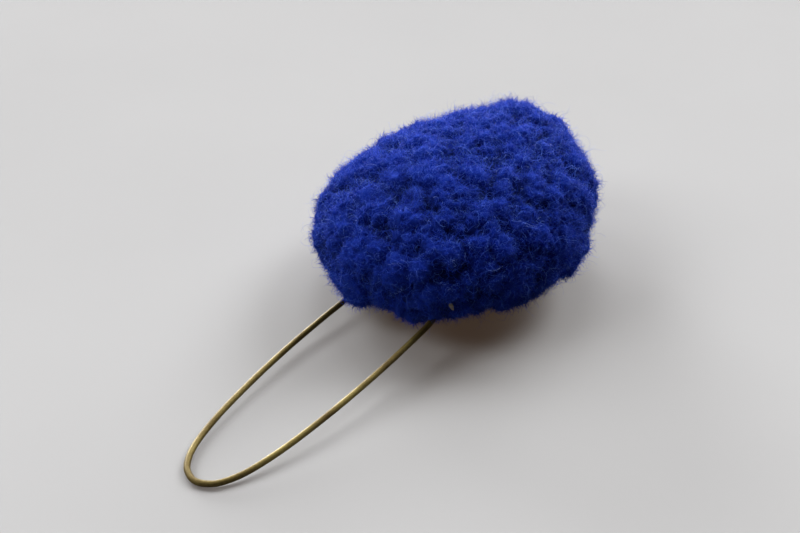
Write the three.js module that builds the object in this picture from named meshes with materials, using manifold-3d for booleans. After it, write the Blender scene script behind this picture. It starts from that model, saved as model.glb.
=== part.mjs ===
// Oval wool pompom on a bent brass wire loop, lying on its back on a level surface.
// Millimetres, +Z up. The origin is on the surface under the middle of the wool.
// +Y runs from the loop towards the wool's free end, and +X is on the right of that.
import * as THREE from 'three';
import { mergeVertices } from 'three/addons/utils/BufferGeometryUtils.js';
import Module from 'manifold-3d';

// Wool oval: half sizes, the height of its middle and how it lies
const WOOL_HALF_WIDTH = 24.2;
const WOOL_HALF_LENGTH = 28.8;
const WOOL_HALF_THICKNESS = 14.4;
const WOOL_MIDDLE_HEIGHT = 12.5;
const WOOL_ROLL_DEG = 6;
const WOOL_PITCH_DEG = 2;

// Broad swells of the trimmed oval: where each is seen from the middle, and how far it stands out.
// A hollow stands out by less than nothing.
const SWELLS = [
  { right: 0.1, along: 0.8, up: 0.6, stands: 1.9 },
  { right: 0.87, along: -0.05, up: -0.5, stands: 1.2 },
  { right: 0.87, along: 0.47, up: -0.14, stands: -1.1 },
  { right: 0.0, along: -0.88, up: -0.47, stands: -0.8 },
  { right: 0.3, along: -0.74, up: -0.6, stands: 1.0 },
  { right: -0.8, along: 0.2, up: 0.6, stands: -0.6 },
];
const SWELL_TIGHTNESS = 10;

// Locks of wool around the tied middle: how many, how far they stand out of it and how deep they root
const LOCK_COUNT = 276;
const LOCK_LENGTH = 3.2;
const LOCK_ROOT_DEPTH = 1.5;
const LOCK_UNEVENNESS = 0.8;
const LOCK_GAP = 0.3;

// Four-sided sections of a lock, as a share of its run from root to tip and half the section's diagonal.
// A free lock comes to a point, and one that stands on the surface has a flat end.
const LOCK_SIDES = 4;
const FREE_LOCK_SECTIONS = [
  { along: 0.0, half: 1.25 },
  { along: 0.8, half: 2.3 },
];
const STANDING_LOCK_SECTIONS = [
  { along: 0.0, half: 1.25 },
  { along: 1.0, half: 1.9 },
];

// Beside the wire a lock is made thinner, and below this share of its full width it is left out
const THINNEST_LOCK = 0.4;

// Spreading the locks: tries for each new one, then rounds of pushing neighbours apart
const LOCK_SEED = 71;
const TRIES_PER_LOCK = 24;
const EVENING_ROUNDS = 80;
const PUSH_REACH = 1.5;
const PUSH_SHARE = 0.08;

// Where locks meet the surface: the slope from which one stands on it, the clearance under one that
// only lies near it, and the place of the lock that stands beside the origin
const STEEP_ENOUGH_TO_STAND = 0.45;
const LYING_LOCK_CLEARANCE = 0.15;
const REST_LOCK = { x: 0.45, y: 0.2 };

// Brass wire: thickness, the clear gap around it in the wool, and how its two legs rise from the bend
const WIRE_RADIUS = 0.5;
const WIRE_GAP = 0.3;
const WIRE_SIDES = 8;
const WIRE_STEPS = 104;
const WIRE_SURFACE_GAP = 0.05;
const WIRE_LOWEST = WIRE_RADIUS + WIRE_SURFACE_GAP;
const BEND_Y = -68.7;
const LOOP_MIDDLE_X = 1.9;
const LEFT_LEG_RISE_DEG = 3;
const RIGHT_LEG_RISE_DEG = 7;
const TIE_HEIGHT = 10.5;

// Half the loop's width at each distance from its bend, and the share of the way
// that a leg has turned up from its straight run towards the tie inside the wool
const LOOP_STATIONS = [
  { fromBend: 0.9, half: 2.4, turnedUp: 0 },
  { fromBend: 2.1, half: 3.55, turnedUp: 0 },
  { fromBend: 4.8, half: 5.0, turnedUp: 0 },
  { fromBend: 10.6, half: 6.55, turnedUp: 0 },
  { fromBend: 19.4, half: 7.8, turnedUp: 0 },
  { fromBend: 30.0, half: 8.65, turnedUp: 0 },
  { fromBend: 40.0, half: 8.95, turnedUp: 0 },
  { fromBend: 46.0, half: 8.9, turnedUp: 0.02 },
  { fromBend: 51.0, half: 8.5, turnedUp: 0.25 },
  { fromBend: 56.0, half: 7.8, turnedUp: 0.7 },
  { fromBend: 61.0, half: 7.0, turnedUp: 1 },
];

const WOOL_HALF = new THREE.Vector3(WOOL_HALF_WIDTH, WOOL_HALF_LENGTH, WOOL_HALF_THICKNESS);
const WOOL_TURN = new THREE.Quaternion().setFromEuler(new THREE.Euler(
  THREE.MathUtils.degToRad(WOOL_PITCH_DEG),
  THREE.MathUtils.degToRad(-WOOL_ROLL_DEG),
  0,
));
const WOOL_MIDDLE = new THREE.Vector3(0, 0, WOOL_MIDDLE_HEIGHT);
const UP = new THREE.Vector3(0, 0, 1);
const WIDEST_SECTION = FREE_LOCK_SECTIONS.at(-1);
const SAME_CORNER = 1e-4;

const wasm = await Module();
wasm.setup();

// Repeatable random numbers between 0 and 1
const random = () => THREE.MathUtils.seededRandom();
THREE.MathUtils.seededRandom(LOCK_SEED);

// A closed solid from a geometry, with its shared corners joined
function solidFrom(geometry) {
  const bare = geometry.index ? geometry.toNonIndexed() : geometry.clone();
  bare.deleteAttribute('normal');
  bare.deleteAttribute('uv');
  const joined = mergeVertices(bare, SAME_CORNER);
  return new wasm.Manifold(new wasm.Mesh({
    numProp: 3,
    vertProperties: new Float32Array(joined.attributes.position.array),
    triVerts: new Uint32Array(joined.index.array),
  }));
}

// A geometry from a solid
function geometryFrom(solid) {
  const mesh = solid.getMesh();
  const geometry = new THREE.BufferGeometry();
  geometry.setAttribute('position', new THREE.BufferAttribute(mesh.vertProperties, 3));
  geometry.setIndex(new THREE.BufferAttribute(mesh.triVerts, 1));
  geometry.computeVertexNormals();
  return geometry;
}

// How far the swells lift the trimmed oval in one direction from its middle
function swellAt(direction) {
  return SWELLS.reduce((total, swell) => {
    const peak = new THREE.Vector3(swell.right, swell.along, swell.up).normalize();
    return total + swell.stands * Math.exp(SWELL_TIGHTNESS * (peak.dot(direction) - 1));
  }, 0);
}

// The point of the oval in one direction, at a depth below its trimmed face
function woolPoint(direction, depth) {
  const reach = WOOL_HALF.clone().subScalar(depth);
  return direction.clone()
    .multiply(reach)
    .addScaledVector(direction, swellAt(direction))
    .applyQuaternion(WOOL_TURN)
    .add(WOOL_MIDDLE);
}

// The direction from the oval's middle in which a given point lies
function woolDirection(point) {
  return point.clone()
    .sub(WOOL_MIDDLE)
    .applyQuaternion(WOOL_TURN.clone().invert())
    .divide(WOOL_HALF)
    .normalize();
}

// Centre line of the wire, from the left leg's end round the bend to the right leg's end
function legPoint(station, side, riseDeg) {
  const rise = station.fromBend * Math.tan(THREE.MathUtils.degToRad(riseDeg));
  const straight = WIRE_LOWEST + rise;
  return new THREE.Vector3(
    LOOP_MIDDLE_X + side * station.half,
    BEND_Y + station.fromBend,
    THREE.MathUtils.lerp(straight, TIE_HEIGHT, station.turnedUp),
  );
}

function wirePoints() {
  const left = LOOP_STATIONS.map((station) => legPoint(station, -1, LEFT_LEG_RISE_DEG));
  const right = LOOP_STATIONS.map((station) => legPoint(station, 1, RIGHT_LEG_RISE_DEG));
  const bend = new THREE.Vector3(LOOP_MIDDLE_X, BEND_Y, WIRE_LOWEST);
  return [...left.reverse(), bend, ...right];
}

// The wire's points with both ends carried on by a little
function lengthened(points, extra) {
  const carriedOn = (end, before) => end.clone().add(end.clone().sub(before).setLength(extra));
  const first = carriedOn(points[0], points[1]);
  const last = carriedOn(points.at(-1), points.at(-2));
  return [first, ...points, last];
}

function curveThrough(points) {
  return new THREE.CatmullRomCurve3(points, false, 'centripetal');
}

// A round bar along a line of points, with flat ends
function barAlong(points, radius) {
  const section = new THREE.Shape();
  for (let side = 0; side < WIRE_SIDES; side += 1) {
    const angle = (side / WIRE_SIDES) * Math.PI * 2;
    const corner = [radius * Math.cos(angle), radius * Math.sin(angle)];
    if (side === 0) section.moveTo(...corner);
    else section.lineTo(...corner);
  }
  section.closePath();
  return new THREE.ExtrudeGeometry(section, { steps: WIRE_STEPS, extrudePath: curveThrough(points) });
}

// A random direction, as likely on every part of the oval's face
function randomDirection() {
  for (;;) {
    const up = random() * 2 - 1;
    const around = random() * Math.PI * 2;
    const flat = Math.sqrt(1 - up * up);
    const direction = new THREE.Vector3(flat * Math.cos(around), flat * Math.sin(around), up);
    const areaShare = direction.clone().divide(WOOL_HALF).length() * WOOL_HALF_THICKNESS;
    if (random() < areaShare) return direction;
  }
}

// Directions in which the locks point: the first is given, and each next one is put where there is room.
// Then all but the first are pushed apart over the plain oval until they are even.
function spreadDirections(first, count) {
  const onOval = (direction) => direction.clone().multiply(WOOL_HALF);
  const points = [onOval(first)];
  while (points.length < count) {
    const tries = Array.from({ length: TRIES_PER_LOCK }, () => onOval(randomDirection()));
    const rooms = tries.map((point) => nearestDistance(point, points));
    points.push(tries[rooms.indexOf(Math.max(...rooms))]);
  }

  const reach = evenPitch(count) * PUSH_REACH;
  for (let round = 0; round < EVENING_ROUNDS; round += 1) {
    for (let index = 1; index < count; index += 1) {
      const push = new THREE.Vector3();
      points.forEach((other) => {
        const away = points[index].clone().sub(other);
        const distance = away.length();
        if (distance === 0 || distance > reach) return;
        push.addScaledVector(away.normalize(), (reach - distance) * PUSH_SHARE);
      });
      points[index] = onOval(points[index].clone().add(push).divide(WOOL_HALF).normalize());
    }
  }
  return points.map((point) => point.clone().divide(WOOL_HALF).normalize());
}

// The distance from a point to the nearest other one
function nearestDistance(point, others) {
  return Math.min(...others.map((other) => (other === point ? Infinity : other.distanceTo(point))));
}

// Spacing of that many locks if they were spread evenly over the oval, by a usual estimate of its area
function evenPitch(count) {
  const areaPower = 1.6075;
  const { x, y, z } = WOOL_HALF;
  const mean = ((x * y) ** areaPower + (x * z) ** areaPower + (y * z) ** areaPower) / 3;
  const area = 4 * Math.PI * mean ** (1 / areaPower);
  return Math.sqrt((2 * area) / (Math.sqrt(3) * count));
}

// A lock before it is placed: four-sided, one long, with its sections along Y
function plainLock(sections) {
  const profile = [
    new THREE.Vector2(0, 0),
    ...sections.map((section) => new THREE.Vector2(section.half, section.along)),
    new THREE.Vector2(0, 1),
  ];
  return new THREE.LatheGeometry(profile, LOCK_SIDES);
}

// Places a lock from its root to its tip, with its sections square to it or level
function placedLock(lock) {
  const run = lock.tip.clone().sub(lock.root);
  const across = lock.level ? UP.clone().negate() : run.clone().normalize();
  const sideways = Math.abs(across.x) < Math.abs(across.z) ? new THREE.Vector3(1, 0, 0) : UP;
  const right = new THREE.Vector3().crossVectors(across, sideways).normalize();
  right.applyAxisAngle(across, lock.twist);
  const front = new THREE.Vector3().crossVectors(right, across);
  const geometry = (lock.level ? STANDING_LOCK : FREE_LOCK).clone();
  const corners = geometry.attributes.position;
  const corner = new THREE.Vector3();
  for (let index = 0; index < corners.count; index += 1) {
    corner.fromBufferAttribute(corners, index);
    const placed = lock.root.clone()
      .addScaledVector(run, corner.y)
      .addScaledVector(right, corner.x * lock.fullness)
      .addScaledVector(front, corner.z * lock.fullness);
    corners.setXYZ(index, placed.x, placed.y, placed.z);
  }
  return geometry;
}

// The lowest corner of a placed lock outside its root
function lowestCorner(lock) {
  const corners = placedLock(lock).attributes.position;
  let lowest = Infinity;
  for (let index = 0; index < corners.count; index += 1) {
    lowest = Math.min(lowest, corners.getZ(index));
  }
  return lowest;
}

// Sets a lock on the surface: a steep one stands level on it, a lying one is lifted clear of it
function restLock(lock) {
  const fall = lock.root.z - lock.tip.z;
  const steep = fall / lock.tip.distanceTo(lock.root) > STEEP_ENOUGH_TO_STAND;
  const lowest = lowestCorner(lock);
  if (lowest > LYING_LOCK_CLEARANCE) return lock;
  if (steep) {
    const tip = lock.root.clone().lerp(lock.tip, lock.root.z / fall);
    return { ...lock, tip: tip.setZ(0), level: true };
  }
  const tip = lock.tip.clone();
  tip.z += LYING_LOCK_CLEARANCE - lowest;
  return { ...lock, tip };
}

// How full a lock can be and still stand clear of the wire and of the nearest other lock
function fullnessOf(lock, wireLine, nearestLock) {
  const axis = new THREE.Line3(lock.start, lock.tip);
  const nearest = new THREE.Vector3();
  const wireRoom = Math.min(...wireLine.map((point) => {
    axis.closestPointToPoint(point, true, nearest);
    return nearest.distanceTo(point) - WIRE_RADIUS - 2 * WIRE_GAP;
  }));
  const lockRoom = (nearestLock - LOCK_GAP) / 2;
  return Math.min(1, Math.min(wireRoom, lockRoom) / WIDEST_SECTION.half);
}

// One lock from its root in the tied middle to its tip at the trimmed face
function lockAt(direction) {
  return {
    root: woolPoint(direction, LOCK_LENGTH + LOCK_ROOT_DEPTH),
    start: woolPoint(direction, LOCK_LENGTH),
    shoulder: woolPoint(direction, LOCK_LENGTH * (1 - WIDEST_SECTION.along)),
    tip: woolPoint(direction, (random() * 2 - 1) * LOCK_UNEVENNESS),
    twist: random() * Math.PI * 2,
    level: false,
  };
}

// True for a point outside the tied middle
function isOutsideMiddle(point) {
  const reach = WOOL_HALF.clone().subScalar(LOCK_LENGTH);
  const inOval = point.clone().sub(WOOL_MIDDLE).applyQuaternion(WOOL_TURN.clone().invert());
  return inOval.divide(reach).length() > 1;
}

// The tied middle, with every lock's root fused into it and room for the wire cut through
function woolGeometry(points) {
  const wireLine = curveThrough(points).getSpacedPoints(WIRE_STEPS * 2).filter(isOutsideMiddle);
  const restDirection = woolDirection(new THREE.Vector3(REST_LOCK.x, REST_LOCK.y, 0));
  const directions = spreadDirections(restDirection, LOCK_COUNT);
  const locks = directions.map(lockAt);
  const shoulders = locks.map((lock) => lock.shoulder);

  let wool = solidFrom(middleGeometry());
  locks.forEach((lock) => {
    const fullness = fullnessOf(lock, wireLine, nearestDistance(lock.shoulder, shoulders));
    if (fullness < THINNEST_LOCK) return;
    wool = wool.add(solidFrom(placedLock(restLock({ ...lock, fullness }))));
  });
  const holeRadius = (WIRE_RADIUS + WIRE_GAP) / Math.cos(Math.PI / WIRE_SIDES);
  const wireHole = barAlong(lengthened(points, WIRE_GAP), holeRadius);
  return geometryFrom(wool.subtract(solidFrom(wireHole)));
}

// The tied middle that the locks grow from, a smaller oval
function middleGeometry() {
  const geometry = new THREE.IcosahedronGeometry(1, 2);
  const corners = geometry.attributes.position;
  const corner = new THREE.Vector3();
  for (let index = 0; index < corners.count; index += 1) {
    corner.fromBufferAttribute(corners, index).normalize();
    const placed = woolPoint(corner, LOCK_LENGTH);
    corners.setXYZ(index, placed.x, placed.y, placed.z);
  }
  return geometry;
}

const FREE_LOCK = plainLock(FREE_LOCK_SECTIONS);
const STANDING_LOCK = plainLock(STANDING_LOCK_SECTIONS);
const WIRE_POINTS = wirePoints();

const wool = new THREE.Mesh(
  woolGeometry(WIRE_POINTS),
  new THREE.MeshStandardMaterial({ color: 0x1e3390, roughness: 0.95, metalness: 0 }),
);
wool.name = 'wool_pompom';

const wire = new THREE.Mesh(
  barAlong(WIRE_POINTS, WIRE_RADIUS),
  new THREE.MeshStandardMaterial({ color: 0x8f7a45, roughness: 0.4, metalness: 0.9 }),
);
wire.name = 'wire_loop';

const pompom = new THREE.Group();
pompom.add(wool, wire);

export default pompom;
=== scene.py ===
import math

import bmesh
import bpy
import numpy as np
from mathutils import Matrix, Vector


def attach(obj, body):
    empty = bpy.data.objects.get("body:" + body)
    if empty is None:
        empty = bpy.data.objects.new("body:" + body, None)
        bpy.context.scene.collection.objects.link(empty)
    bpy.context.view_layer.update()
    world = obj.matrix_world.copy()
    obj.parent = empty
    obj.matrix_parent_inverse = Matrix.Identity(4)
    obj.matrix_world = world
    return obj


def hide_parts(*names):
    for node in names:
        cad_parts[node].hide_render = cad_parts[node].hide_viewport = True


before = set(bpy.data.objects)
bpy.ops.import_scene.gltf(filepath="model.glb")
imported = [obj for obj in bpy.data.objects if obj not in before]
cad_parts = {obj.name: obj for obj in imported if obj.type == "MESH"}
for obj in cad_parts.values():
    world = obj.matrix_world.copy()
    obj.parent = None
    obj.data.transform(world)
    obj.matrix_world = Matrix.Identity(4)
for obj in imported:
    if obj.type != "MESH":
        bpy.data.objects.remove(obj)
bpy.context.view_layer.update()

MM = 0.001

# Where the photograph was taken from, round a point on the floor.
PHOTO_PIXELS = (800, 533)
PHOTO_WIDE_DEG = 32
PHOTO_AZIMUTH_DEG = 37.08
PHOTO_ELEVATION_DEG = 34
PHOTO_DISTANCE = 249.0 * MM
PHOTO_AIM = Vector((-8.394, -5.842, 0)) * MM
NEAREST_SEEN = 5 * MM

# The studio: a wide floor just under the wool, which glows faintly warm as painted light that lifts the
# shadows on it, and soft lights, all alike in width, mostly behind it.
FLOOR_REACH = 4.0
FLOOR_DROP = 0.02 * MM
ROOM_TINT = (0.985, 0.99, 1.0, 1)
GLOW_HALF_WIDTH_DEG = 20
ROOM_GLOWS = (
    # turned to the right from straight behind, height (both in degrees), strength
    (-25, 10, 50),
    (25, 10, 35),
    (-100, 40, 14),
    (-50, 40, 12),
    (50, 40, 27),
    (0, 55, 14),
)

# The oval of wool: x to the right, y away from the wire, z up, before it is turned.
WOOL_HALF = np.array((24.2, 28.8, 14.4)) * MM
WOOL_MIDDLE = np.array((0, 0, 12.5)) * MM
WOOL_PITCH_DEG = 2
WOOL_ROLL_DEG = -6
OVAL_ROUNDS = 5
OVAL_CUTS = 4

# The swells and hollows of the trimmed oval: the way to each, and how far it stands, in millimetres.
SWELLS = (
    # right, along, up, stands, tightness
    (0.1, 0.8, 0.6, 1.9, 10),
    (0.87, -0.05, -0.5, 1.2, 10),
    (0.87, 0.47, -0.14, -1.1, 10),
    (0.0, -0.88, -0.47, -0.8, 10),
    (0.3, -0.74, -0.6, 1.0, 10),
    (-0.8, 0.2, 0.6, -0.6, 10),
    (0.45, 0.79, 0.42, -1.6, 30),
    (-0.27, 0.61, 0.75, -2.2, 90),
    (-0.5, 0.42, 0.76, -1.5, 60),
    (0.66, -0.42, -0.62, -0.7, 60),
    (-0.2, -0.91, -0.36, 1.1, 90),
    (0.1, -0.85, -0.5, -1.3, 90),
    (0.25, -0.76, -0.6, -0.9, 150),
    (0.36, -0.82, -0.44, 1.3, 120),
    (0.4, -0.67, -0.63, -2.3, 90),
    (0.62, -0.48, -0.62, -1.0, 150),
    (0.72, -0.35, -0.6, 1.9, 120),
    (0.91, 0.2, -0.36, 0.8, 30),
    (0.64, 0.74, 0.21, -0.5, 60),
    (-0.06, 0.74, 0.67, 0.7, 120),
    (0.1, 0.79, 0.6, -0.7, 90),
    (-0.38, 0.52, 0.77, 1.2, 150),
    (-0.83, -0.45, 0.35, 0.4, 90),
)

# The clumps, tufts, curls and crumbs that the clipped yarn ends make.
# They rise from a smooth oval that lies this deep in the wool.
WOOL_DEPTH = 3.2 * MM
CLUMP_WIDTH = 5.0 * MM
CLUMP_HEIGHT = 0.8 * MM
CLUMP_BLEND = 0.3
TUFT_WIDTH = 3.0 * MM
TUFT_HEIGHT = 1.0 * MM
TUFT_BLEND = 0.2
TUFT_UNEVEN = 0.7 * MM
UNEVEN_POWER = 0.4
CURL_WIDTH = 1.1 * MM
CURL_HEIGHT = 0.3 * MM
CURL_BLEND = 0.2
CRUMB_WIDTH = 1.6 * MM
CRUMB_HEIGHT = 0.6 * MM
CRUMB_ROUGHNESS = 0.62
CRUMB_LOWEST = 0.3
CRUMB_HIGHEST = 0.7
REST_HEIGHT = 0.03 * MM

# How far a dome reaches from its middle, in its own widths, and its edge strays, in curl widths.
DOME_REACH = 0.74
DOME_STRAY = 1.6

# Fibres grow thinly up to a parting's height, and fully from a tuft's top on, as shares of the highest.
PARTING = 0.3
TUFT_TOP = 0.6
PARTING_GROWTH = 0.3

# The wool's fibres, layer by layer: sizes, sweeps and curls in millimetres, bends in degrees.
FIBRE_LAYERS = (
    # name, fibres, points, length, half thickness, lean, bend,
    # sweep, curl, curl size, tangle, seed, pale
    ("short_fuzz", 16000, 2, 0.65, 0.032, 1.3, 30, 0.2, 0.2, 1.2, 30, 3, False),
    ("crimped_wool_a", 13000, 3, 1.3, 0.052, 1.4, 140, 0.4, 0.4, 1.5, 12, 11, False),
    ("crimped_wool_b", 13000, 3, 1.6, 0.046, 1.6, 160, 0.5, 0.5, 1.4, 12, 23, False),
    ("fine_curls_a", 5200, 6, 2.9, 0.022, 1.8, 250, 0.6, 1.0, 1.3, 30, 37, True),
    ("fine_curls_b", 6200, 5, 1.7, 0.022, 1.7, 250, 0.4, 0.6, 0.9, 30, 41, True),
    ("stray_hairs", 450, 10, 4.6, 0.022, 2.8, 220, 0.9, 1.4, 2.0, 40, 53, True),
)

# What the layers share: the spread of lengths, three strengths of bend, and the form of a single fibre.
SHORTEST_FIBRE = 0.55
LONGEST_FIBRE = 1.3
HOOK_SHARES = (1.0, 0.75, 0.45)
SWEEP_WAVES = 0.5
TIP_BEND = 2.0
FIBRE_SIDES = 3
FIBRE_TAPER = 0.8

# Added to the seed of a layer for the random choices that have a seed of their own.
SHADE_SEED = 1
SPIN_SEED = 2
HOOK_SEED = 3

# A fibre's own square of the fibre map, in shares of its side, and squares to spare.
CELL_MIDDLE = 0.5
CELL_HALF_WIDTH = 0.25
CELL_ROOT = 0.15
CELL_ROOT_HALF = 0.1
CELL_LENGTH = 0.65
SPARE_CELLS = 1.1

# The blues of the fibres, from the darkest to the brightest, and where each has its place.
BLUE_SPOTS = (0.0, 0.5, 0.88, 1.0)
ROYAL_BLUES = (
    (0.0037, 0.0133, 0.18),
    (0.0048, 0.0187, 0.25),
    (0.0076, 0.030, 0.343),
    (0.0275, 0.079, 0.49),
)
# The fine fibres' blues are paler, standing in for the light that thin fibres catch: painted highlight;
# their shades still differ at random.
PALE_HIGHLIGHT_BLUES = (
    (0.0076, 0.028, 0.317),
    (0.0185, 0.059, 0.425),
    (0.092, 0.172, 0.59),
    (0.35, 0.45, 0.78),
)

# How the finishes are mixed: where the tufts turn from navy, painted shade in the partings, to royal
# blue, and what has which share.
SHADED_NAVY_UP_TO = 0.32
ROYAL_FROM = 0.72
TUFT_SHADE_SHARE = 0.7
SPECKLE_SHARE = 0.5
SHADE_SHARE = 0.8
# The fibres' share along their length darkens them towards the root: painted shade.
ROOT_SHADE_SHARE = 0.2
PATCH_SHARE = 0.75
GRAIN_SHARE = 0.25

# Where the brass is dullest, where it is most worn, and how rough it is there.
DULL_UP_TO = 0.35
WORN_FROM = 0.65
DULL_ROUGHNESS = 0.65
WORN_ROUGHNESS = 0.5

# The loop of wire: its places and heights are in millimetres.
WIRE_RADIUS = 0.5 * MM
WIRE_STEPS = 260
WIRE_SIDES = 20
STATION_STEPS = 14
WIRE_LOWEST = 0.55
BEND_Y = -68.7
LOOP_MIDDLE_X = 1.9
LEFT_LEG_RISE_DEG = 3
RIGHT_LEG_RISE_DEG = 7
TIE_HEIGHT = 10.5
LOOP_STATIONS = (
    # how far from the bend, half the loop's width there, how far it has turned up to the tie
    (0.9, 2.4, 0),
    (2.1, 3.55, 0),
    (4.8, 5.0, 0),
    (10.6, 6.55, 0),
    (19.4, 7.8, 0),
    (30, 8.65, 0),
    (40, 8.95, 0),
    (46, 8.9, 0.02),
    (51, 8.5, 0.25),
    (56, 7.8, 0.7),
    (61, 7.0, 1),
)

# A fleck of chaff caught in the wool: where the photograph shows it, its half sizes, and how it lies.
FLECK_PIXEL = (450.5, 304)
FLECK_HALF = Vector((0.38, 1.2, 0.22)) * MM
FLECK_TAPER = 0.45
FLECK_STANDS = 0.6 * MM
FLECK_LEAN_DEG = 22


def node(tree, kind, inputs=None, **settings):
    made = tree.nodes.new(kind)
    for name, value in settings.items():
        setattr(made, name, value)
    for name, value in (inputs or {}).items():
        if isinstance(value, bpy.types.NodeSocket):
            tree.links.new(value, made.inputs[name])
        else:
            made.inputs[name].default_value = value
    return made


def maths(tree, operation, first, second=0.0):
    return node(tree, "ShaderNodeMath", {0: first, 1: second}, operation=operation).outputs[0]


def vectors(tree, operation, first, second=(0, 0, 0), scale=1.0):
    inputs = {0: first, 3: scale} if operation == "SCALE" else {0: first, 1: second}
    return node(tree, "ShaderNodeVectorMath", inputs, operation=operation).outputs[0]


def added(tree, total, *others):
    for other in others:
        total = maths(tree, "ADD", total, other)
    return total


def weighed(tree, *parts):
    """The sum of some values, each times its own share."""
    return added(tree, *(maths(tree, "MULTIPLY", value, share) for value, share in parts))


def stretched(tree, value, low, high, new_low, new_high, **settings):
    """A value between two limits, spread out between two new ones."""
    inputs = {"Value": value, 1: low, 2: high, 3: new_low, 4: new_high}
    return node(tree, "ShaderNodeMapRange", inputs, **settings).outputs["Result"]


def noise(tree, place, scale, detail, **more):
    """Cloudy noise, as a number and as a colour; another W gives the same place another noise."""
    inputs = {"Vector": place, "Scale": scale, "Detail": detail, **more}
    dimensions = "4D" if "W" in more else "3D"
    return node(tree, "ShaderNodeTexNoise", inputs, noise_dimensions=dimensions).outputs


def push(tree, colour, reach):
    """A noise colour as a push to any side, by half the reach at most along each axis."""
    centred = vectors(tree, "SUBTRACT", colour, (0.5, 0.5, 0.5))
    return vectors(tree, "SCALE", centred, scale=reach)


def node_tree(name, *inputs):
    """An empty Geometry Nodes tree with named inputs; gives the tree, its inputs and its output."""
    tree = bpy.data.node_groups.new(name, "GeometryNodeTree")
    for label, kind in inputs:
        tree.interface.new_socket(label, in_out="INPUT", socket_type="NodeSocket" + kind)
    tree.interface.new_socket("Made", in_out="OUTPUT", socket_type="NodeSocketGeometry")
    return tree, tree.nodes.new("NodeGroupInput").outputs, tree.nodes.new("NodeGroupOutput")


def complete(tree, geometry, finish, end):
    """Ends a tree: what it made is realized and given its finish."""
    whole = node(tree, "GeometryNodeRealizeInstances", {"Geometry": geometry}).outputs[0]
    done = node(tree, "GeometryNodeSetMaterial", {"Geometry": whole, "Material": finish})
    tree.links.new(done.outputs[0], end.inputs[0])


def stored(tree, geometry, name, value, domain, kind="FLOAT"):
    """The geometry with a named value kept on each of its points, curves or corners."""
    inputs = {"Geometry": geometry, "Name": name, "Value": value}
    kept = node(tree, "GeometryNodeStoreNamedAttribute", inputs, data_type=kind, domain=domain)
    return kept.outputs[0]


def read_back(tree, name):
    return node(tree, "GeometryNodeInputNamedAttribute", {"Name": name}).outputs[0]


def moved(tree, geometry, **where):
    return node(tree, "GeometryNodeSetPosition", {"Geometry": geometry, **where}).outputs[0]


def above_floor(tree, height):
    """Each point's own place, lifted to a height where it is under it."""
    place = node(tree, "GeometryNodeInputPosition").outputs[0]
    parts = node(tree, "ShaderNodeSeparateXYZ", {0: place}).outputs
    lifted = maths(tree, "MAXIMUM", parts["Z"], height)
    return node(tree, "ShaderNodeCombineXYZ", {0: parts["X"], 1: parts["Y"], 2: lifted}).outputs[0]


def random_between(tree, low, high, seed):
    inputs = {2: low, 3: high, "Seed": seed}
    return node(tree, "FunctionNodeRandomValue", inputs, data_type="FLOAT").outputs[1]


def circle(tree, sides, radius):
    inputs = {"Resolution": sides, "Radius": radius}
    return node(tree, "GeometryNodeCurvePrimitiveCircle", inputs).outputs[0]


def drawn_along(tree, curve, section, scale):
    """A closed mesh: the section drawn along the curve."""
    inputs = {"Curve": curve, "Profile Curve": section, "Scale": scale, "Fill Caps": True}
    return node(tree, "GeometryNodeCurveToMesh", inputs).outputs[0]


def placed(name, data):
    """A new object in the scene, at the origin."""
    made = bpy.data.objects.new(name, data)
    bpy.context.scene.collection.objects.link(made)
    return made


def grown(name, start, tree, **sizes):
    """A plain mesh object: what the tree makes of the start object."""
    start.modifiers.clear()
    grower = start.modifiers.new(name, "NODES")
    grower.node_group = tree
    for item in tree.interface.items_tree:
        if item.in_out == "INPUT" and item.name in sizes:
            grower[item.identifier] = sizes[item.name]
    ready = bpy.context.evaluated_depsgraph_get()
    mesh = bpy.data.meshes.new_from_object(
        start.evaluated_get(ready), preserve_all_data_layers=True, depsgraph=ready
    )
    start.modifiers.remove(grower)
    mesh.name = name
    mesh.shade_smooth()
    return placed(name, mesh)


def finish_with(piece, material):
    piece.data.materials.clear()
    piece.data.materials.append(material)


def new_finish(name):
    material = bpy.data.materials.new(name)
    material.use_nodes = True
    tree = material.node_tree
    return material, tree, tree.nodes["Principled BSDF"]


def ramp(tree, value, *stops):
    """A colour for a value, blended between stops."""
    made = node(tree, "ShaderNodeValToRGB", {"Fac": value})
    colours = made.color_ramp.elements
    for spot, _ in stops[2:]:
        colours.new(spot)
    for element, (spot, colour) in zip(sorted(colours, key=lambda e: e.position), sorted(stops)):
        element.position = spot
        element.color = (*colour, 1)
    return made.outputs["Color"]


def roughen(tree, shader, height, strength, depth):
    bump = node(tree, "ShaderNodeBump", {"Height": height, "Strength": strength, "Distance": depth})
    tree.links.new(bump.outputs["Normal"], shader.inputs["Normal"])


def photo_camera():
    camera = placed("photo_camera", bpy.data.cameras.new("photo_camera"))
    camera.data.sensor_fit = "HORIZONTAL"
    camera.data.angle = math.radians(PHOTO_WIDE_DEG)
    camera.data.clip_start = NEAREST_SEEN
    around = math.radians(PHOTO_AZIMUTH_DEG)
    above = math.radians(PHOTO_ELEVATION_DEG)
    back = Vector((
        math.sin(around) * math.cos(above),
        -math.cos(around) * math.cos(above),
        math.sin(above),
    ))
    camera.location = PHOTO_AIM + back * PHOTO_DISTANCE
    camera.rotation_euler = (-back).to_track_quat("-Z", "Y").to_euler()
    bpy.context.scene.camera = camera


def photo_sides():
    """The photograph's right and its depth, along the floor."""
    around = math.radians(PHOTO_AZIMUTH_DEG)
    right = Vector((math.cos(around), math.sin(around), 0))
    depth = Vector((-math.sin(around), math.cos(around), 0))
    return right, depth


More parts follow.
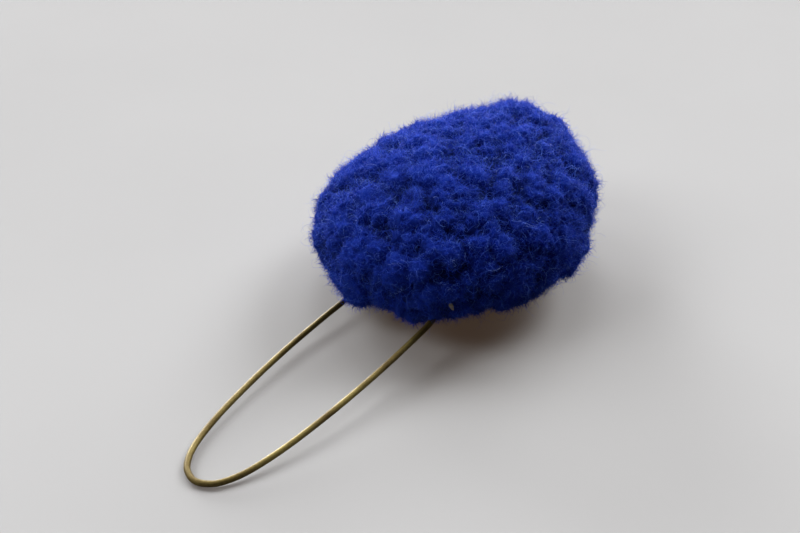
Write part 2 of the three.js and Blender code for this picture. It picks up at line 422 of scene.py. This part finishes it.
def photo_ray(pixel):
    """From the photograph's camera, the way to one of its pixels."""
    camera = bpy.context.scene.camera
    across = math.tan(math.radians(PHOTO_WIDE_DEG) / 2)
    wide, tall = PHOTO_PIXELS
    ahead = Vector((
        (pixel[0] - wide / 2) / (wide / 2) * across,
        (tall / 2 - pixel[1]) / (wide / 2) * across,
        -1,
    ))
    return camera.location.copy(), (camera.rotation_euler.to_matrix() @ ahead).normalized()


def studio():
    """The room, dark but for its soft glows."""
    world = bpy.data.worlds.new("soft_room")
    world.use_nodes = True
    tree = world.node_tree
    room = tree.nodes["Background"]
    right, depth = photo_sides()
    facing = node(tree, "ShaderNodeTexCoord").outputs["Generated"]
    edge = math.cos(math.radians(GLOW_HALF_WIDTH_DEG))
    light = 0.0
    for turn_deg, height_deg, strength in ROOM_GLOWS:
        turn, height = math.radians(turn_deg), math.radians(height_deg)
        level = right * math.sin(turn) + depth * math.cos(turn)
        way = level * math.cos(height) + Vector((0, 0, math.sin(height)))
        near = node(
            tree,
            "ShaderNodeVectorMath",
            {0: facing, 1: way},
            operation="DOT_PRODUCT",
        ).outputs["Value"]
        glow = stretched(tree, near, edge, 1.0, 0.0, strength, interpolation_type="SMOOTHSTEP")
        light = maths(tree, "ADD", glow, light)
    tree.links.new(light, room.inputs["Strength"])
    room.inputs["Color"].default_value = ROOM_TINT
    bpy.context.scene.world = world
    bpy.context.scene.view_settings.view_transform = "Standard"


def glowing_pale_floor_finish():
    material, tree, shader = new_finish("pale_floor")
    place = node(tree, "ShaderNodeTexCoord").outputs["Object"]
    cloud = noise(tree, place, scale=14, detail=3)["Fac"]
    tint = ramp(tree, cloud, (0.3, (0.173, 0.175, 0.176)), (0.7, (0.180, 0.182, 0.183)))
    tree.links.new(tint, shader.inputs["Base Color"])
    shader.inputs["Roughness"].default_value = 0.9
    shader.inputs["Specular IOR Level"].default_value = 0.0
    # The floor glows faintly warm, though it is no lamp: painted light that lifts the shadows on it.
    shader.inputs["Emission Color"].default_value = (1.0, 0.66, 0.44, 1)
    shader.inputs["Emission Strength"].default_value = 0.045
    return material


def wool_finish():
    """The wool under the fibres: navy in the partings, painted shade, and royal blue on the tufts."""
    material, tree, shader = new_finish("royal_blue_wool")
    place = node(tree, "ShaderNodeTexCoord").outputs["Object"]
    speckle = noise(tree, place, scale=1800, detail=5, Roughness=0.7, Distortion=1.5)["Fac"]
    # Down in the partings between the tufts the wool is painted darker: painted shade.
    tuft = node(tree, "ShaderNodeAttribute", attribute_name="tuft_height").outputs["Fac"]
    tuft = stretched(tree, tuft, SHADED_NAVY_UP_TO, ROYAL_FROM, 0.0, TUFT_SHADE_SHARE)
    blue = ramp(
        tree,
        added(tree, tuft, maths(tree, "MULTIPLY", speckle, SPECKLE_SHARE)),
        (0.2, (0.0007, 0.0021, 0.026)),
        (0.55, (0.0018, 0.007, 0.09)),
        (0.95, (0.0045, 0.0168, 0.19)),
    )
    tree.links.new(blue, shader.inputs["Base Color"])
    shader.inputs["Roughness"].default_value = 0.95
    shader.inputs["Specular IOR Level"].default_value = 0.02
    shader.inputs["Sheen Weight"].default_value = 0.1
    shader.inputs["Sheen Roughness"].default_value = 0.5
    shader.inputs["Sheen Tint"].default_value = (0.2, 0.4, 0.9, 1)
    roughen(tree, shader, speckle, strength=0.9, depth=0.4 * MM)
    return material


def fibre_finish(name, blues):
    """Dyed wool hair: each fibre has its own shade, and is paler towards its tip and darker at its
    root, deep in the pile: painted shade.
    """
    material, tree, shader = new_finish(name)
    shade = node(tree, "ShaderNodeAttribute", attribute_name="fibre_shade").outputs["Fac"]
    along = node(tree, "ShaderNodeAttribute", attribute_name="fibre_along").outputs["Fac"]
    # Darker towards the root, deep in the pile: painted shade; each fibre's own shade differs at
    # random.
    mixed = weighed(tree, (shade, SHADE_SHARE), (along, ROOT_SHADE_SHARE))
    tree.links.new(ramp(tree, mixed, *zip(BLUE_SPOTS, blues)), shader.inputs["Base Color"])
    shader.inputs["Roughness"].default_value = 0.6
    shader.inputs["Specular IOR Level"].default_value = 0.03
    shader.inputs["Sheen Weight"].default_value = 0.12
    shader.inputs["Sheen Roughness"].default_value = 0.4
    shader.inputs["Sheen Tint"].default_value = (0.2, 0.38, 0.95, 1)
    return material


def aged_brass_finish():
    """Worn brass in patches and fine grain, smoother where it is paler."""
    material, tree, shader = new_finish("aged_brass_wire")
    place = node(tree, "ShaderNodeTexCoord").outputs["Object"]
    patch = noise(tree, place, scale=130, detail=5)["Fac"]
    grain = noise(tree, place, scale=2600, detail=3)["Fac"]
    mixed = weighed(tree, (patch, PATCH_SHARE), (grain, GRAIN_SHARE))
    brass = ramp(
        tree,
        mixed,
        (DULL_UP_TO, (0.048, 0.031, 0.009)),
        (0.5, (0.080, 0.058, 0.017)),
        (WORN_FROM, (0.118, 0.091, 0.027)),
    )
    tree.links.new(brass, shader.inputs["Base Color"])
    rough = stretched(tree, mixed, DULL_UP_TO, WORN_FROM, DULL_ROUGHNESS, WORN_ROUGHNESS)
    tree.links.new(rough, shader.inputs["Roughness"])
    shader.inputs["Metallic"].default_value = 0.5
    shader.inputs["Specular IOR Level"].default_value = 0.1
    roughen(tree, shader, grain, strength=0.25, depth=0.05 * MM)
    return material


def dry_chaff_finish():
    material, tree, shader = new_finish("dry_chaff")
    place = node(tree, "ShaderNodeTexCoord").outputs["Object"]
    grain = noise(tree, place, scale=2400, detail=3)["Fac"]
    chaff = ramp(tree, grain, (0.35, (0.06, 0.05, 0.039)), (0.65, (0.14, 0.12, 0.096)))
    tree.links.new(chaff, shader.inputs["Base Color"])
    shader.inputs["Roughness"].default_value = 0.7
    roughen(tree, shader, grain, strength=0.4, depth=0.1 * MM)
    return material


def wool_points(facing, depth):
    """Where the wool's outside lies, in each facing direction, less a depth."""
    facing = facing / np.linalg.norm(facing, axis=1, keepdims=True)
    stands = np.zeros(len(facing))
    for right, along, up, height, tightness in SWELLS:
        peak = np.array((right, along, up))
        peak /= np.linalg.norm(peak)
        stands += height * MM * np.exp(tightness * (facing @ peak - 1))
    oval = facing * (WOOL_HALF - depth) + facing * stands[:, None]
    turn = Matrix.Rotation(math.radians(WOOL_PITCH_DEG), 3, "X")
    turn = turn @ Matrix.Rotation(math.radians(WOOL_ROLL_DEG), 3, "Y")
    return oval @ np.array(turn).T + WOOL_MIDDLE


def smooth_oval():
    ball = bmesh.new()
    bmesh.ops.create_icosphere(ball, subdivisions=OVAL_ROUNDS, radius=1)
    bmesh.ops.subdivide_edges(ball, edges=ball.edges[:], cuts=OVAL_CUTS, use_grid_fill=True)
    mesh = bpy.data.meshes.new("smooth_oval")
    ball.to_mesh(mesh)
    ball.free()
    facing = np.zeros(len(mesh.vertices) * 3)
    mesh.vertices.foreach_get("co", facing)
    places = wool_points(facing.reshape(-1, 3), WOOL_DEPTH)
    mesh.vertices.foreach_set("co", places.ravel())
    mesh.shade_smooth()
    return placed("smooth_oval", mesh)


def domes(tree, place, width, blend):
    """Close-set round domes: how high a place is on its dome, and a random value for each dome."""
    cells = node(
        tree,
        "ShaderNodeTexVoronoi",
        {"Vector": place, "Scale": maths(tree, "DIVIDE", 1.0, width), "Smoothness": blend},
        feature="SMOOTH_F1",
    ).outputs
    out = maths(tree, "DIVIDE", cells["Distance"], DOME_REACH)
    dome = maths(tree, "SUBTRACT", 1.0, maths(tree, "MULTIPLY", out, out))
    dome = maths(tree, "MAXIMUM", dome, 0.0)
    return dome, node(tree, "ShaderNodeSeparateXYZ", {0: cells["Color"]}).outputs[0]


def tuft_tree():
    """Raises clumps, tufts, curls and crumbs on an oval, and presses its underside on the floor."""
    tree, sizes, end = node_tree(
        "wool_tufts",
        ("Oval", "Geometry"),
        ("Clump Width", "Float"),
        ("Clump Height", "Float"),
        ("Tuft Width", "Float"),
        ("Tuft Height", "Float"),
        ("Tuft Uneven", "Float"),
        ("Curl Width", "Float"),
        ("Curl Height", "Float"),
        ("Crumb Width", "Float"),
        ("Crumb Height", "Float"),
        ("Rest Height", "Float"),
        ("Finish", "Material"),
    )
    place = node(tree, "GeometryNodeInputPosition").outputs[0]
    per_curl = maths(tree, "DIVIDE", 1.0, sizes["Curl Width"])
    wander = noise(tree, place, per_curl, detail=3)["Color"]
    stray = maths(tree, "MULTIPLY", sizes["Curl Width"], DOME_STRAY)
    strayed = vectors(tree, "ADD", place, push(tree, wander, stray))
    tuft, taller = domes(tree, strayed, sizes["Tuft Width"], TUFT_BLEND)
    taller = maths(tree, "POWER", taller, UNEVEN_POWER)
    curl, _ = domes(tree, strayed, sizes["Curl Width"], CURL_BLEND)
    clump, _ = domes(tree, strayed, sizes["Clump Width"], CLUMP_BLEND)
    per_crumb = maths(tree, "DIVIDE", 1.0, sizes["Crumb Width"])
    crumb = noise(tree, place, per_crumb, detail=4, Roughness=CRUMB_ROUGHNESS)["Fac"]
    crumb = stretched(tree, crumb, CRUMB_LOWEST, CRUMB_HIGHEST, 0.0, 1.0)
    rise = weighed(
        tree,
        (tuft, sizes["Tuft Height"]),
        (taller, sizes["Tuft Uneven"]),
        (curl, sizes["Curl Height"]),
        (clump, sizes["Clump Height"]),
        (crumb, sizes["Crumb Height"]),
    )
    highest = added(
        tree,
        sizes["Tuft Height"],
        sizes["Curl Height"],
        sizes["Crumb Height"],
        sizes["Tuft Uneven"],
        sizes["Clump Height"],
    )
    share = maths(tree, "DIVIDE", rise, highest)
    wool = stored(tree, sizes["Oval"], "tuft_height", share, "POINT")
    outward = node(tree, "GeometryNodeInputNormal").outputs["Normal"]
    wool = moved(tree, wool, Offset=vectors(tree, "SCALE", outward, scale=rise))
    wool = moved(tree, wool, Position=above_floor(tree, sizes["Rest Height"]))
    complete(tree, wool, sizes["Finish"], end)
    return tree


def hook(tree, points, bend):
    """A fibre one unit long that leaves its root upwards and bends over by an angle."""
    straight = node(tree, "GeometryNodeCurvePrimitiveLine", {"Start": (0, 0, 0), "End": (0, 0, 1)})
    stepped = node(tree, "GeometryNodeResampleCurve", {"Curve": straight.outputs[0], "Count": points})
    turn = maths(tree, "MULTIPLY", node(tree, "GeometryNodeSplineParameter").outputs["Factor"], bend)
    out = maths(tree, "DIVIDE", maths(tree, "SUBTRACT", 1.0, maths(tree, "COSINE", turn)), bend)
    up = maths(tree, "DIVIDE", maths(tree, "SINE", turn), bend)
    place = node(tree, "ShaderNodeCombineXYZ", {0: out, 2: up}).outputs[0]
    bent = moved(tree, stepped.outputs[0], Position=place)
    return node(tree, "GeometryNodeGeometryToInstance", {0: bent}).outputs[0]


def planted_hooks(tree, sizes):
    """Hooks set leaning on the wool, fewer in its partings, each of a random bend and length."""
    height = read_back(tree, "tuft_height")
    growth = stretched(tree, height, PARTING, TUFT_TOP, PARTING_GROWTH, 1.0)
    roots = node(
        tree,
        "GeometryNodeDistributePointsOnFaces",
        {
            "Mesh": sizes["Wool"],
            "Density": maths(tree, "MULTIPLY", sizes["Density"], growth),
            "Seed": sizes["Seed"],
        },
    ).outputs
    astray = node(
        tree,
        "FunctionNodeRandomValue",
        {0: (-1, -1, -1), 1: (1, 1, 1), "Seed": sizes["Seed"]},
        data_type="FLOAT_VECTOR",
    ).outputs[0]
    lean = vectors(tree, "SCALE", astray, scale=sizes["Lean"])
    facing = vectors(tree, "ADD", roots["Normal"], lean)
    spin = random_between(tree, 0.0, 2 * math.pi, added(tree, sizes["Seed"], SPIN_SEED))
    spin = node(tree, "ShaderNodeCombineXYZ", {2: spin}).outputs[0]
    spun = node(tree, "FunctionNodeEulerToRotation", {0: spin}).outputs[0]
    turned = node(
        tree,
        "FunctionNodeAlignRotationToVector",
        {"Rotation": spun, "Vector": facing},
        axis="Z",
    ).outputs[0]
    longer = random_between(tree, SHORTEST_FIBRE, LONGEST_FIBRE, sizes["Seed"])
    hooks = node(tree, "GeometryNodeJoinGeometry")
    for share in HOOK_SHARES:
        bend = maths(tree, "MULTIPLY", sizes["Bend"], share)
        tree.links.new(hook(tree, sizes["Points"], bend), hooks.inputs[0])
    which = node(
        tree,
        "FunctionNodeRandomValue",
        {4: 0, 5: len(HOOK_SHARES) - 1, "Seed": added(tree, sizes["Seed"], HOOK_SEED)},
        data_type="INT",
    ).outputs[2]
    planted = node(
        tree,
        "GeometryNodeInstanceOnPoints",
        {
            "Points": roots["Points"],
            "Instance": hooks.outputs[0],
            "Pick Instance": True,
            "Instance Index": which,
            "Rotation": turned,
            "Scale": maths(tree, "MULTIPLY", longer, sizes["Length"]),
        },
    ).outputs[0]
    return node(tree, "GeometryNodeRealizeInstances", {"Geometry": planted}).outputs[0]


def fibre_push(tree, sizes, along):
    """How far each point of a fibre is pushed aside: together with its neighbours, and alone."""
    place = node(tree, "GeometryNodeInputPosition").outputs[0]
    waves = maths(tree, "DIVIDE", SWEEP_WAVES, sizes["Curl Size"])
    together = noise(tree, place, waves, detail=0)["Color"]
    own = maths(tree, "MULTIPLY", read_back(tree, "fibre_shade"), sizes["Tangle"])
    curls = maths(tree, "DIVIDE", 1.0, sizes["Curl Size"])
    alone = noise(tree, place, curls, detail=1, W=own)["Color"]
    swept = push(tree, together, sizes["Sweep"])
    curled = push(tree, alone, sizes["Curl"])
    both = vectors(tree, "ADD", swept, curled)
    return vectors(tree, "SCALE", both, scale=maths(tree, "MULTIPLY", along, TIP_BEND))


def fibre_cell(tree, across):
    """A small square of the fibre map for each fibre, so that each keeps its own shade there."""
    number = read_back(tree, "fibre_number")
    along = read_back(tree, "fibre_along")
    around = read_back(tree, "fibre_around")
    column = maths(tree, "MODULO", number, across)
    row = maths(tree, "FLOOR", maths(tree, "DIVIDE", number, across))
    turn = maths(tree, "MULTIPLY", around, 2 * math.pi)
    right = maths(tree, "MULTIPLY", maths(tree, "COSINE", turn), CELL_HALF_WIDTH)
    right = added(tree, right, CELL_MIDDLE)
    up = maths(tree, "MULTIPLY", maths(tree, "SINE", turn), CELL_ROOT_HALF)
    up = added(tree, up, CELL_ROOT, maths(tree, "MULTIPLY", along, CELL_LENGTH))
    right = maths(tree, "DIVIDE", added(tree, column, right), across)
    up = maths(tree, "DIVIDE", added(tree, row, up), across)
    return node(tree, "ShaderNodeCombineXYZ", {0: right, 1: up}).outputs[0]


def fibre_tree():
    """Sets curved, tapering fibres over the wool, and meshes them."""
    tree, sizes, end = node_tree(
        "wool_fibres",
        ("Wool", "Geometry"),
        ("Density", "Float"),
        ("Points", "Int"),
        ("Length", "Float"),
        ("Half Thickness", "Float"),
        ("Lean", "Float"),
        ("Bend", "Float"),
        ("Sweep", "Float"),
        ("Curl", "Float"),
        ("Curl Size", "Float"),
        ("Tangle", "Float"),
        ("Cells Across", "Int"),
        ("Rest Height", "Float"),
        ("Seed", "Int"),
        ("Finish", "Material"),
    )
    hairs = planted_hooks(tree, sizes)
    shade = random_between(tree, 0.0, 1.0, added(tree, sizes["Seed"], SHADE_SEED))
    hairs = stored(tree, hairs, "fibre_shade", shade, "CURVE")
    number = node(tree, "GeometryNodeInputIndex").outputs[0]
    hairs = stored(tree, hairs, "fibre_number", number, "CURVE")
    along = node(tree, "GeometryNodeSplineParameter").outputs["Factor"]
    hairs = stored(tree, hairs, "fibre_along", along, "POINT")
    hairs = moved(tree, hairs, Offset=fibre_push(tree, sizes, along))
    hairs = moved(tree, hairs, Position=above_floor(tree, sizes["Rest Height"]))
    corner = node(tree, "GeometryNodeInputIndex").outputs[0]
    around = maths(tree, "DIVIDE", corner, FIBRE_SIDES)
    section = circle(tree, FIBRE_SIDES, radius=1.0)
    section = stored(tree, section, "fibre_around", around, "POINT")
    taper = maths(tree, "SUBTRACT", 1.0, maths(tree, "MULTIPLY", along, FIBRE_TAPER))
    thinning = maths(tree, "MULTIPLY", taper, sizes["Half Thickness"])
    hairs = drawn_along(tree, hairs, section, scale=thinning)
    cell = fibre_cell(tree, sizes["Cells Across"])
    hairs = stored(tree, hairs, "OFBake", cell, "CORNER", "FLOAT2")
    complete(tree, hairs, sizes["Finish"], end)
    return tree


def growing_area(wool):
    """The wool's area, its partings counted for less, as the fibres grow on it."""
    heights = np.zeros(len(wool.data.vertices))
    wool.data.attributes["tuft_height"].data.foreach_get("value", heights)
    share = np.clip((heights - PARTING) / (TUFT_TOP - PARTING), 0, 1)
    share = PARTING_GROWTH + (1 - PARTING_GROWTH) * share
    areas = np.zeros(len(wool.data.polygons))
    wool.data.polygons.foreach_get("area", areas)
    corners = np.zeros(len(wool.data.loops), dtype=np.int64)
    wool.data.loops.foreach_get("vertex_index", corners)
    return float((areas * share[corners.reshape(-1, 3)].mean(axis=1)).sum())


def wire_leg(side, rise_deg):
    """The places that one leg passes through, from the bend to the tie."""
    slope = math.tan(math.radians(rise_deg))
    leg = []
    for out, half, turned in LOOP_STATIONS:
        height = (WIRE_LOWEST + out * slope) * (1 - turned) + TIE_HEIGHT * turned
        leg.append((LOOP_MIDDLE_X + side * half, BEND_Y + out, height))
    return leg


def wire_path():
    """The loop's middle line, smooth from one leg's end round the bend to the other's."""
    left = wire_leg(-1, LEFT_LEG_RISE_DEG)
    right = wire_leg(1, RIGHT_LEG_RISE_DEG)
    stations = np.array([*reversed(left), (LOOP_MIDDLE_X, BEND_Y, WIRE_LOWEST), *right]) * MM
    first = 2 * stations[0] - stations[1]
    last = 2 * stations[-1] - stations[-2]
    stations = np.vstack((first, stations, last))
    line = []
    for a, b, c, d in zip(stations, stations[1:], stations[2:], stations[3:]):
        before, here, after = (np.sqrt(np.linalg.norm(q - p)) for p, q in ((a, b), (b, c), (c, d)))
        leave = ((b - a) / before - (c - a) / (before + here) + (c - b) / here) * here
        arrive = ((c - b) / here - (d - b) / (here + after) + (d - c) / after) * here
        for t in np.linspace(0, 1, STATION_STEPS, endpoint=False):
            line.append(
                (2 * t**3 - 3 * t**2 + 1) * b
                + (t**3 - 2 * t**2 + t) * leave
                + (3 * t**2 - 2 * t**3) * c
                + (t**3 - t**2) * arrive
            )
    line.append(stations[-2])
    return np.array(line)


def wire_tree():
    """Draws a round wire along a path."""
    tree, sizes, end = node_tree(
        "bent_wire",
        ("Path", "Geometry"),
        ("Radius", "Float"),
        ("Steps", "Int"),
        ("Sides", "Int"),
        ("Finish", "Material"),
    )
    even = node(tree, "GeometryNodeResampleCurve", {"Curve": sizes["Path"], "Count": sizes["Steps"]})
    section = circle(tree, sizes["Sides"], sizes["Radius"])
    wire = drawn_along(tree, even.outputs[0], section, scale=1.0)
    complete(tree, wire, sizes["Finish"], end)
    return tree


def path_object(name, line):
    curve = bpy.data.curves.new(name, "CURVE")
    curve.dimensions = "3D"
    spline = curve.splines.new("POLY")
    spline.points.add(len(line) - 1)
    for point, place in zip(spline.points, line):
        point.co = (*place, 1)
    return placed(name, curve)


def floor():
    mesh = bpy.data.meshes.new("floor")
    corners = [
        (right * FLOOR_REACH, back * FLOOR_REACH, -FLOOR_DROP)
        for right, back in ((-1, -1), (1, -1), (1, 1), (-1, 1))
    ]
    mesh.from_pydata(corners, [], [(0, 1, 2, 3)])
    ground = placed("floor", mesh)
    finish_with(ground, glowing_pale_floor_finish())


def tufted_wool():
    """The wool's closed body, with its tufts."""
    oval = smooth_oval()
    blue_wool = wool_finish()
    wool = grown(
        "tufted_wool",
        oval,
        tuft_tree(),
        **{
            "Clump Width": CLUMP_WIDTH,
            "Clump Height": CLUMP_HEIGHT,
            "Tuft Width": TUFT_WIDTH,
            "Tuft Height": TUFT_HEIGHT,
            "Tuft Uneven": TUFT_UNEVEN,
            "Curl Width": CURL_WIDTH,
            "Curl Height": CURL_HEIGHT,
            "Crumb Width": CRUMB_WIDTH,
            "Crumb Height": CRUMB_HEIGHT,
            "Rest Height": REST_HEIGHT,
            "Finish": blue_wool,
        },
    )
    bpy.data.objects.remove(oval)
    finish_with(wool, blue_wool)
    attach(wool, "root")
    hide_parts("wool_pompom")
    return wool


def wool_fibres(wool):
    """The layers of fibres that grow on the wool."""
    area = growing_area(wool)
    tree = fibre_tree()
    hair = fibre_finish("royal_blue_fibres", ROYAL_BLUES)
    highlight_pale_hair = fibre_finish("pale_blue_fibres", PALE_HIGHLIGHT_BLUES)
    for name, count, points, length, half_thick, lean, bend, *curls, seed, pale in FIBRE_LAYERS:
        sweep, curl, curl_size, tangle = curls
        # Fine curls and stray hairs take the paler blues: painted highlight.
        finish = highlight_pale_hair if pale else hair
        layer = grown(
            name,
            wool,
            tree,
            **{
                "Density": count / area,
                "Points": points,
                "Length": length * MM,
                "Half Thickness": half_thick * MM,
                "Lean": lean,
                "Bend": math.radians(bend),
                "Sweep": sweep * MM,
                "Curl": curl * MM,
                "Curl Size": curl_size * MM,
                "Tangle": float(tangle),
                "Cells Across": math.ceil(math.sqrt(count * SPARE_CELLS)),
                "Rest Height": REST_HEIGHT,
                "Seed": seed,
                "Finish": finish,
            },
        )
        finish_with(layer, finish)
        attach(layer, "root")
        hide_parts("wool_pompom")


def chaff_fleck(wool):
    """A small flake of chaff held in the wool's fibres, flat to the wool under it."""
    ready = bpy.context.evaluated_depsgraph_get()
    eye, ahead = photo_ray(FLECK_PIXEL)
    _, place, outward, _ = wool.ray_cast(eye, ahead, depsgraph=ready)
    upright = Vector((0, 0, 1)) - outward * outward.z
    upright = Matrix.Rotation(math.radians(FLECK_LEAN_DEG), 3, outward) @ upright.normalized()
    sideways = upright.cross(outward)
    flake = bmesh.new()
    bmesh.ops.create_icosphere(flake, subdivisions=1, radius=1)
    for corner in flake.verts:
        across, along, thick = corner.co * FLECK_HALF
        across *= 1 + FLECK_TAPER * corner.co.y
        corner.co = place + sideways * across + upright * along + outward * (thick + FLECK_STANDS)
    mesh = bpy.data.meshes.new("chaff_fleck")
    flake.to_mesh(mesh)
    flake.free()
    fleck = placed("chaff_fleck", mesh)
    finish_with(fleck, dry_chaff_finish())
    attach(fleck, "root")


def hanging_wire():
    path = path_object("wire_path", wire_path())
    brass = aged_brass_finish()
    wire = grown(
        "brass_wire",
        path,
        wire_tree(),
        **{"Radius": WIRE_RADIUS, "Steps": WIRE_STEPS, "Sides": WIRE_SIDES, "Finish": brass},
    )
    bpy.data.objects.remove(path)
    finish_with(wire, brass)
    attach(wire, "root")
    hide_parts("wire_loop")


photo_camera()
studio()
floor()
wool = tufted_wool()
wool_fibres(wool)
chaff_fleck(wool)
hanging_wire()
